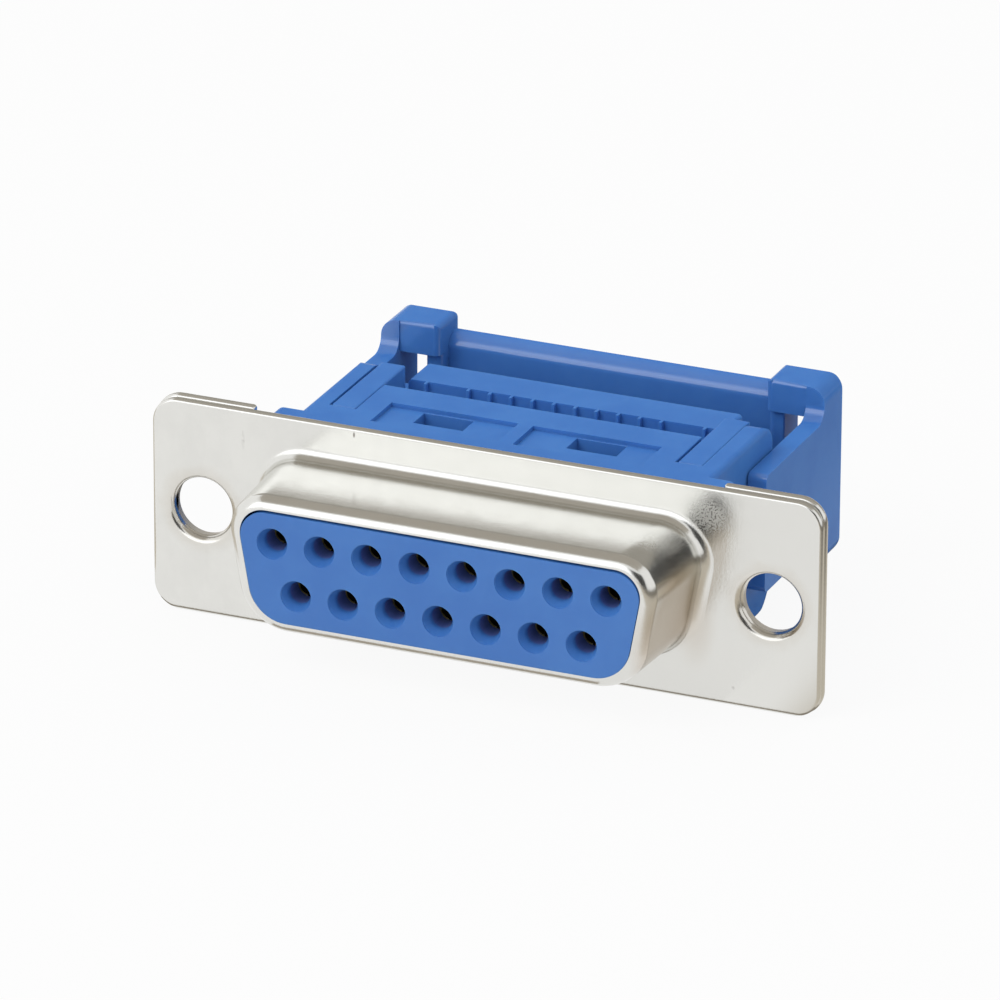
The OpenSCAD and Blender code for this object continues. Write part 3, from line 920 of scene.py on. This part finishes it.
    def turn_forward(self, mesh: BMesh) -> None:
        """Turns every face of the skin to the front or outwards.

        Args:
            mesh: The shell's mesh, still one skin.
        """
        bmesh.ops.recalc_face_normals(mesh, faces=mesh.faces)
        if sum(f.normal.y * f.calc_area() for f in mesh.faces) > 0:
            bmesh.ops.reverse_faces(mesh, faces=mesh.faces)

    def at_lip(self, edge: BMEdge) -> bool:
        """Tells whether an edge lies on the front edge of a hole."""
        reach = max(hole_reach(v) for v in edge.verts)
        return reach < self.hole_r + NEAR and all(abs(v.co.y) < NEAR for v in edge.verts)

    def at_border(self, edge: BMEdge) -> bool:
        """Tells whether an edge is a cut edge of the flange's outline."""
        reach = min(hole_reach(v) for v in edge.verts)
        away = reach > self.hole_r + self.lip_ring and all(v.co.y > -NEAR for v in edge.verts)
        return away and edge.calc_face_angle(0.0) > CUT_ANGLE

    def at_rim(self, edge: BMEdge) -> bool:
        """Tells whether an edge is a cut edge of the nose's rim."""
        return edge.verts[0].co.y < -self.rim_zone and edge.calc_face_angle(0.0) > CUT_ANGLE

    def build_mesh(self) -> BMesh:
        """Builds the whole shell from one sheet.

        Returns:
            The shell's mesh.
        """
        mesh = bmesh.new()
        root = self.outline(mesh, self.nose_corners(self.root_r))
        border = self.outline(mesh, self.flange_corners())
        holes = self.punched_holes(mesh)
        bmesh.ops.triangle_fill(mesh, use_beauty=True, edges=root + border + holes,
                                normal=FORWARD)
        self.draw_nose(mesh, root)
        skin = [v for v in mesh.verts if v.co.y < -TINY]
        self.flare(mesh, skin + [v for edge in root for v in edge.verts])
        bmesh.ops.remove_doubles(mesh, verts=mesh.verts, dist=self.weld)
        self.turn_forward(mesh)
        bmesh.ops.solidify(mesh, geom=mesh.faces[:], thickness=self.sheet)
        ring = self.hole_r + self.lip_ring + NEAR
        merge_flats(mesh, [e for e in mesh.edges
                           if max(hole_reach(v) for v in e.verts) > ring])
        soften(mesh, self.lip, self.at_lip)
        soften(mesh, self.border_roll, self.at_border)
        soften(mesh, self.rim_roll, self.at_rim)
        return mesh

    def build(self, finish: Material) -> Object:
        """Builds the shell and dresses it in its finish."""
        return new_piece("drawn_shell", self.build_mesh(), Body.CONNECTOR, finish,
                         ["front_shell"])


@dataclass
class RearPlates:
    """The plated pieces behind the flange's two ends, with screw holes wider than the shell's.

    Attributes:
        hole_zone: Distance from a hole's axis within which a vertex belongs to the hole.
    """

    hole_r: float = 1.76 * MM
    hole_zone: float = 1.9 * MM
    edge_roll: Rounding = Rounding(0.2 * MM, 4)

    def widen_hole(self, mesh: BMesh) -> None:
        """Moves a plate's screw hole out to its full radius.

        Args:
            mesh: The plate's mesh.
        """
        for vert in mesh.verts:
            centre = math.copysign(HOLE_X, vert.co.x)
            reach = hole_reach(vert)
            if reach < self.hole_zone:
                vert.co.x = centre + (vert.co.x - centre) * self.hole_r / reach
                vert.co.z *= self.hole_r / reach

    def off_hole(self, edge: BMEdge) -> bool:
        """Tells whether an edge lies away from the hole."""
        return all(hole_reach(v) > self.hole_zone for v in edge.verts)

    def build(self, finish: Material) -> list[Object]:
        """Builds and dresses both plates.

        Args:
            finish: The sheet's material.

        Returns:
            The two pieces.
        """
        pieces = []
        for side in ("left", "right"):
            mesh = merged_copy(f"rear_plate_{side}")
            self.widen_hole(mesh)
            soften(mesh, self.edge_roll, self.off_hole)
            pieces.append(new_piece(f"flange_plate_{side}", mesh, Body.CONNECTOR,
                                    finish, [f"rear_plate_{side}"]))
        return pieces


@dataclass
class Moulding:
    """One blue moulding, taken from its CAD node with its edges broken as a mould leaves them.

    Attributes:
        node: The CAD node that it copies and stands for.
        edge: Rounding of the edges that have room for it.
        long_side: Least length of an edge with room.
        side_room: Least length of such an edge's neighbours.
        shortest: Least length of an edge that is rounded at all.
    """

    name: str
    node: str
    body: Body
    finish: MouldedPlastic
    edge: Rounding = Rounding(0.12 * MM, 3)
    fine_edge: Rounding = Rounding(0.06 * MM, 2)
    long_side: float = 0.6 * MM
    side_room: float = 0.32 * MM
    shortest: float = 0.05 * MM

    def roomy(self, edge: BMEdge) -> bool:
        """Tells whether an edge is long and has no short neighbours."""
        room = min(e.calc_length() for corner in edge.verts for e in corner.link_edges)
        return edge.calc_length() > self.long_side and room > self.side_room

    def not_tiny(self, edge: BMEdge) -> bool:
        """Tells whether an edge is long enough to be rounded."""
        return edge.calc_length() > self.shortest

    def roundings(self) -> list[tuple[Rounding, EdgeTest]]:
        """Lists the roundings in their order, each with the test that its edges pass."""
        return [(self.edge, self.roomy), (self.fine_edge, self.not_tiny)]

    def build(self) -> Object:
        """Builds and dresses the moulding.

        Returns:
            The piece.
        """
        mesh = merged_copy(self.node)
        for rounding, test in self.roundings():
            soften(mesh, rounding, test)
        return new_piece(self.name, mesh, self.body, self.finish.build(),
                         [self.node])


@dataclass
class StrainReliefYoke(Moulding):
    """The yoke, whose upper corner blocks have softer front edges than the other mouldings.

    Attributes:
        block_front: Where the blocks' front faces lie, behind the flange's face.
        block_near: How near to that plane a vertex of a front face lies.
        block_low: Height above which such a vertex belongs to an upper block.
    """

    block_edge: Rounding = Rounding(0.25 * MM, 4, clamp=False)
    block_front: float = 16.7 * MM
    block_near: float = 0.01 * MM
    block_low: float = 4.9 * MM

    def on_block_front(self, edge: BMEdge) -> bool:
        """Tells whether an edge lies in the front face of an upper corner block."""
        flush = all(abs(v.co.y - self.block_front) < self.block_near for v in edge.verts)
        return flush and all(v.co.z > self.block_low for v in edge.verts)

    def roundings(self) -> list[tuple[Rounding, EdgeTest]]:
        """Lists the roundings, with that of the corner blocks first."""
        return [(self.block_edge, self.on_block_front)] + super().roundings()


@dataclass
class SocketContacts:
    """The fifteen socket contacts with their insulation-piercing forks."""

    count: int = 15

    def build(self, finish: Material) -> list[Object]:
        """Builds every contact and dresses it in its finish."""
        nodes = [f"contact_{number}" for number in range(1, self.count + 1)]
        return [new_piece(f"socket_{node}", merged_copy(node), Body.CONNECTOR,
                          finish, [node]) for node in nodes]


@dataclass(frozen=True)
class Fade:
    """A stretch of a card along its X in which it turns to another brightness."""

    span: Span
    colour: Colour


@dataclass(frozen=True)
class Card:
    """A flat card that only mirroring surfaces show, as bright as its colour."""

    name: str
    centre: Point
    facing: Point
    width: float
    height: float
    colour: Colour
    fades: tuple[Fade, ...] = ()


# colours of the painted floor shadow on the shade cards
SHADOW_BROWN: Colour = (0.62, 0.57, 0.485)
SHADOW_DUSK: Colour = (0.20, 0.18, 0.15)


@dataclass
class Studio:
    """Floor, sky, lamp and the cards that plated metal mirrors.

    Attributes:
        sky: Strength of the sky as a light.
        glow: How much of the floor's own white shows to the rays that see it.
        walls: Cards that stand or hang round the connector.
        shades: Dark cards on the floor, a painted shadow of the connector that only mirroring
            surfaces show; their centres give their height above it.
    """

    floor_z: float = -6.3 * MM
    floor_side: float = 8.0
    paper: Colour = (0.60, 0.60, 0.60)
    sky: float = 0.99
    glow: float = 0.92
    key_place: Point = (-0.22, -0.42, 0.42)
    key_aim: Point = (0.0, 0.006, 0.0)
    key_side: float = 0.40
    key_power: float = 1.75
    walls: tuple[Card, ...] = (
        Card("front_softbox", (-0.095, -0.407, 0.17), (0.16, 0.38, -0.17), 0.60, 0.25,
             (1.62, 1.64, 1.68), (Fade((0.0, 0.10), (0.12, 0.12, 0.12)),)),
        Card("upper_softbox", (-0.12, -0.3295, 0.3352), (0.12, 0.3295, -0.3352), 0.46, 0.09,
             (1.05, 1.06, 1.07)),
        Card("ceiling_card", (0.0, 0.0, 0.26), DOWN, 0.42, 0.42, (0.44, 0.41, 0.36)),
        Card("back_card", (-0.05, 0.30, 0.19), FORWARD, 0.60, 0.34, (0.37, 0.35, 0.31)),
        Card("camera_shade", (0.27, -0.42, 0.13), (-0.27, 0.42, -0.13), 0.34, 0.34,
             (0.06, 0.06, 0.06)),
    )
    shades: tuple[Card, ...] = (
        Card("right_floor_shade", (0.132, 0.0, 0.2 * MM), UP, 0.236, 0.50, WHITE,
             (Fade((0.016, 0.021), SHADOW_BROWN), Fade((0.026, 0.050), SHADOW_DUSK))),
        Card("left_floor_shade", (-0.137, 0.028, 0.2 * MM), UP, 0.226, 0.072, SHADOW_BROWN),
        Card("rear_floor_shade", (-0.005, 0.045, 0.2 * MM), UP, 0.038, 0.078, SHADOW_DUSK),
        Card("nose_shade", (-0.0015, -0.0061, 0.2 * MM), UP, 0.020, 0.0018,
             (0.42, 0.375, 0.315)),
        Card("edge_shade", (0.0, 0.0004, 0.22 * MM), UP, 0.0392, 0.0012, (0.30, 0.27, 0.225)),
    )

    def build_sky(self) -> None:
        """White background for what sees it, and a plain even light for the rest."""
        world = bpy.data.worlds.new("soft_sky")
        bpy.context.scene.world = world
        world.use_nodes = True
        desk, back = Desk(world.node_tree), world.node_tree.nodes["Background"]
        desk.join(WHITE, back.inputs["Color"])
        strength = desk.ramp(desk.shown_rays(), (0.0, 1.0), (self.sky, 1.0))
        desk.join(strength, back.inputs["Strength"])

    def plane(self, name: str, centre: Point, facing: Point, width: float,
              height: float) -> Object:
        """A flat sheet of the studio.

        Args:
            name: Its name.
            centre: Its middle.
            facing: The way it faces.
            width: Its width.
            height: Its height.

        Returns:
            The sheet.
        """
        mesh = bmesh.new()
        turn = Vector(facing).to_track_quat("Z", "Y").to_matrix().to_4x4()
        size = Matrix.Diagonal((width / 2, height / 2, 1.0, 1.0))
        bmesh.ops.create_grid(mesh, x_segments=1, y_segments=1, size=1.0,
                              matrix=Matrix.Translation(centre) @ turn @ size)
        data = bpy.data.meshes.new(name)
        mesh.to_mesh(data)
        mesh.free()
        sheet = bpy.data.objects.new(name, data)
        bpy.context.scene.collection.objects.link(sheet)
        return sheet

    def build_floor(self) -> None:
        """Pale floor that keeps a faint shadow."""
        place = (0.0, 0.0, self.floor_z)
        floor = self.plane("studio_floor", place, UP, self.floor_side, self.floor_side)
        bench = Bench("pale_floor")
        paper = bench.add("ShaderNodeBsdfDiffuse", Color=self.paper).outputs[0]
        glow = bench.add("ShaderNodeEmission", Color=WHITE, Strength=1.0).outputs[0]
        share = bench.work(Sum.MULTIPLY, bench.shown_rays(), self.glow)
        both = bench.feed("ShaderNodeMixShader", None, share, paper, glow)
        bench.join(both.outputs[0], bench.surface)
        floor.data.materials.append(bench.material)

    def build_card(self, card: Card) -> None:
        """Puts up one card.

        Args:
            card: The card.
        """
        sheet = self.plane(card.name, card.centre, card.facing, card.width, card.height)
        bench = Bench(card.name)
        colour = card.colour
        for fade in card.fades:
            colour = bench.mix(bench.ramp(bench.along(Axis.X), fade.span), colour, fade.colour)
        sheet.data.materials.append(
            bench.finish("ShaderNodeEmission", Color=colour, Strength=1.0))
        sheet.visible_camera = sheet.visible_diffuse = False
        sheet.visible_shadow = sheet.visible_transmission = False

    def build_lamp(self) -> None:
        """The soft square lamp."""
        light = bpy.data.lights.new("key_softbox", "AREA")
        light.shape = "SQUARE"
        light.size = self.key_side
        light.energy = self.key_power
        lamp = bpy.data.objects.new("key_softbox", light)
        lamp.location = self.key_place
        way = Vector(self.key_aim) - Vector(self.key_place)
        lamp.rotation_euler = way.to_track_quat("-Z", "Y").to_euler()
        lamp.visible_glossy = False
        bpy.context.scene.collection.objects.link(lamp)

    def build(self) -> None:
        """Builds the whole studio."""
        self.build_sky()
        self.build_floor()
        self.build_lamp()
        for card in self.walls:
            self.build_card(card)
        for shade_card in self.shades:
            x, y, rise = shade_card.centre
            self.build_card(replace(shade_card, centre=(x, y, self.floor_z + rise)))
        LOG.info("studio: floor, sky, lamp and %d cards", len(self.walls) + len(self.shades))


@dataclass
class PhotoCamera:
    """The camera that was fitted to the photograph, in radians, millimetres and pixels.

    Attributes:
        focal: Focal length in pixels, as the width of the picture.
        shift_x: How far the flange's middle lies right of the picture's middle.
        shift_z: How far it lies above it.
        clip: Nearest and farthest distance that is seen, in metres.
    """

    turn: float = 4.00132948e-01
    lift: float = 3.94564926e-01
    roll: float = 5.30624631e-03
    focal: float = 9468.25732
    picture: float = 1000
    shift_x: float = -0.958146420
    shift_z: float = -3.05082889
    distance: float = 510.262801
    sensor: float = 36.0
    clip: Span = (0.01, 50.0)

    def build(self) -> None:
        """Places the camera and makes it the scene's own."""
        turn, lift, roll = self.turn, self.lift, self.roll
        back = Vector((math.sin(turn) * math.cos(lift), -math.cos(turn) * math.cos(lift),
                       math.sin(lift)))
        level = Vector((math.cos(turn), math.sin(turn), 0.0))
        rise = back.cross(level)
        right = math.cos(roll) * level + math.sin(roll) * rise
        up = -math.sin(roll) * level + math.cos(roll) * rise
        place = (-self.shift_x * right - self.shift_z * up + self.distance * back) * MM
        data = bpy.data.cameras.new("photo_camera")
        data.sensor_width = self.sensor
        data.lens = self.focal / self.picture * self.sensor
        data.clip_start, data.clip_end = self.clip
        camera = bpy.data.objects.new("photo_camera", data)
        camera.matrix_world = Matrix(((right.x, up.x, back.x, place.x),
                                      (right.y, up.y, back.y, place.y),
                                      (right.z, up.z, back.z, place.z), (0, 0, 0, 1)))
        bpy.context.scene.collection.objects.link(camera)
        bpy.context.scene.camera = camera


STEEL_MARKS = (
    # brown on the nose's right wall: painted reflection of brown surroundings, partly tarnish
    Mark(mm(12.4, -3.1, -1.5), mm(2.3, 4.0, 5.4), 0.8, 0.0, 0.45, (0.52, 0.44, 0.35)),
    # speckled smudges on the flange above the nose's right end and on the nose's corner: partly
    # real smudge and haze, partly painted reflection that deepens the camera's mirrored dark
    Mark(mm(13.0, 0.0, 4.5), mm(1.5, 0.3, 1.3), 0.3, 0.11 * MM, 0.9, (0.34, 0.33, 0.31), 0.4),
    Mark(mm(10.6, -3.0, 3.2), mm(1.5, 2.2, 1.2), 0.3, 0.13 * MM, 0.9, (0.30, 0.30, 0.28), 0.25),
    # short scratch at the flange's upper edge, faint mark by the left hole, dot at the lower right
    Mark(mm(-7.55, 0.0, 5.84), mm(0.09, 0.3, 0.22), 0.8, 2.0 * MM),
    Mark(mm(-14.13, 0.0, 4.46), mm(0.14, 0.3, 0.7), 0.22, 0.5 * MM),
    Mark(mm(14.63, 0.0, -5.15), mm(0.14, 0.3, 0.14), 0.6, 2.0 * MM),
)
COVER_MARK = Mark(mm(-2.87, 8.7, 6.3), mm(0.5, 0.35, 0.3), 0.25, tone=srgb(120, 160, 214),
                  haze=0.2)


def main() -> None:
    """Builds and dresses the connector and its studio, and logs each piece's faces and the number
    of cards.
    """
    logging.basicConfig(level=logging.INFO, format="%(message)s")
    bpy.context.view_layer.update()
    bpy.context.scene.view_settings.view_transform = "Standard"
    PhotoCamera().build()
    steel = PlatedSteel("plated_steel", STEEL_MARKS).build()
    FrontShell().build(steel)
    RearPlates().build(steel)
    housing = MouldedPlastic("housing_blue", bore_front=-5.5 * MM)
    cover = MouldedPlastic("cover_blue", (COVER_MARK,), level=0.5)
    relief = MouldedPlastic("relief_blue", roughness=0.125, level=0.9)
    Moulding("insulator_housing", "housing", Body.CONNECTOR, housing).build()
    Moulding("press_cover", "cover", Body.COVER, cover).build()
    StrainReliefYoke("strain_relief_yoke", "strain_relief", Body.RELIEF, relief).build()
    SocketContacts().build(ContactGold("contact_gold").build())
    Studio().build()


if __name__ == "__main__":
    main()
